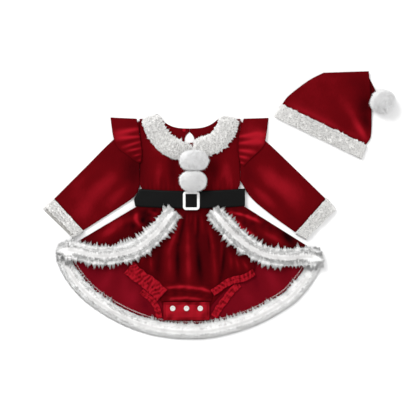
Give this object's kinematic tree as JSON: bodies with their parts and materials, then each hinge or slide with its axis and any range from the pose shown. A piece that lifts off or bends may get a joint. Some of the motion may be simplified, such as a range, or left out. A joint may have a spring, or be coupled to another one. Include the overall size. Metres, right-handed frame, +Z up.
{
  "type": "infant festive romper and hat set",
  "caption": "Baby's long-sleeved red velvet romper with fur-trimmed cutaway overskirt, belt and pompoms, laid flat with its matching soft fur-brimmed hat.",
  "frame": {"origin": "middle of the set's box in plan, on the floor it lies on", "axes": "+X to the wearer's left (the picture's right, where the hat lies), +Y towards the neck, +Z up off the floor, out of the garment's front"},
  "size_m": [0.7017, 0.5341, 0.0442],
  "materials": {
    "velvet": "deep red stretch velvet with a soft nap",
    "long_pile": "long white artificial fur",
    "curly_pile": "short curly off-white pile",
    "belt": "soft black satin-finish imitation leather",
    "buckle": "glossy white",
    "snap": "glossy white ring snaps"
  },
  "bodies": {
    "root": {"bodice_front": "velvet", "bodice_back_left": "velvet", "bodice_back_right": "velvet", "collar_left": "curly_pile", "collar_right": "curly_pile", "belt": "belt", "overskirt_back": "velvet", "overskirt_front_left": "velvet", "overskirt_front_right": "velvet", "bloomers_back": "velvet", "bloomers_front": "velvet", "crotch_tab": "velvet", "sleeve_left": "velvet", "cuff_left": "curly_pile", "sleeve_right": "velvet", "cuff_right": "curly_pile", "shoulder_ruffle_left": "velvet", "shoulder_ruffle_right": "velvet", "leg_band_left_front": "velvet", "leg_band_right_front": "velvet", "leg_band_left_back": "velvet", "leg_band_right_back": "velvet", "fur_hem": "long_pile", "fur_front_left": "long_pile", "fur_front_right": "long_pile", "buckle": "buckle", "pompom_upper": "long_pile", "pompom_lower": "long_pile", "snap_1": "snap", "snap_2": "snap", "snap_3": "snap", "hat_front": "velvet", "hat_back": "velvet", "hat_tail": "velvet", "hat_brim": "curly_pile", "hat_pompom": "long_pile"}
  },
  "joints": []
}
